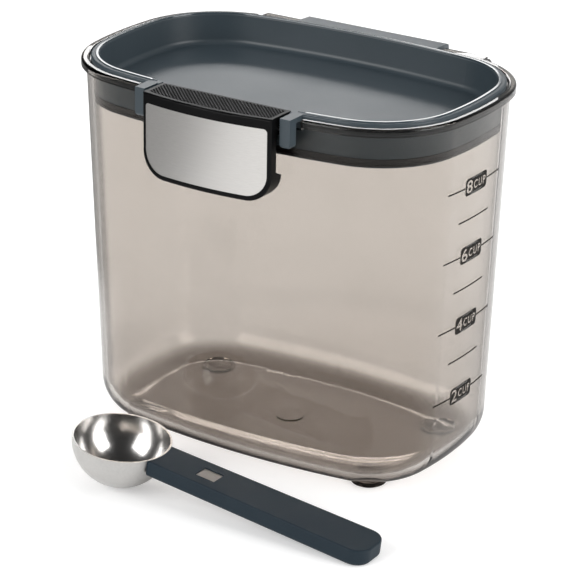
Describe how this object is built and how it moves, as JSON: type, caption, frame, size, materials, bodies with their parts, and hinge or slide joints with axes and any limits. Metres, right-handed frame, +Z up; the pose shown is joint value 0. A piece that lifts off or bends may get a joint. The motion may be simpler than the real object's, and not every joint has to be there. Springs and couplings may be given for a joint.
{
  "type": "coffee storage container",
  "caption": "Clear drafted storage tub with a hinged sealing lid, a front snap latch with a steel plate, a printed cup scale and a steel scoop with a plastic handle.",
  "frame": {"origin": "middle of the tub's base on the table, under the crossing of its two planes of symmetry", "axes": "+Z up, +X to the right along the long side as seen from the latch, +Y to the back, towards the hinge"},
  "size_m": [0.1871, 0.1757, 0.1643],
  "materials": {
    "clear_plastic": "clear, lightly smoked, polished",
    "slate_plastic": "fine satin",
    "black_plastic": "gloss, fine dots on the thumb pad",
    "rubber": "soft matt",
    "plate_steel": "brushed along its length",
    "bowl_steel": "polished inside, satin outside",
    "pin_steel": "bright drawn wire",
    "magnet": "plated"
  },
  "bodies": {
    "tub": {"tub": "clear_plastic", "foot_back_right": "rubber", "foot_front_right": "rubber", "foot_back_left": "rubber", "foot_front_left": "rubber", "hinge_pin": "pin_steel"},
    "lid": {"lid": "slate_plastic", "lid_seal": "rubber", "latch_pin": "pin_steel"},
    "latch": {"latch_frame": "black_plastic", "latch_plate": "plate_steel"},
    "scoop": {"scoop_bowl": "bowl_steel", "scoop_handle": "slate_plastic", "scoop_magnet": "magnet"}
  },
  "joints": [
    {"name": "lid_hinge", "type": "hinge", "parent": "tub", "child": "lid", "pos_m": [0, 0.0628, 0.1566], "axis": [-1, 0, 0], "range_deg": [0, 110]},
    {"name": "latch_swing", "type": "hinge", "parent": "lid", "child": "latch", "pos_m": [0, -0.0599, 0.1596], "axis": [-1, 0, 0], "range_deg": [0, 20]},
    {"name": "scoop_lift", "type": "slide", "parent": "tub", "child": "scoop", "axis": [0, 0, 1], "range_m": [0, 0.2]}
  ]
}
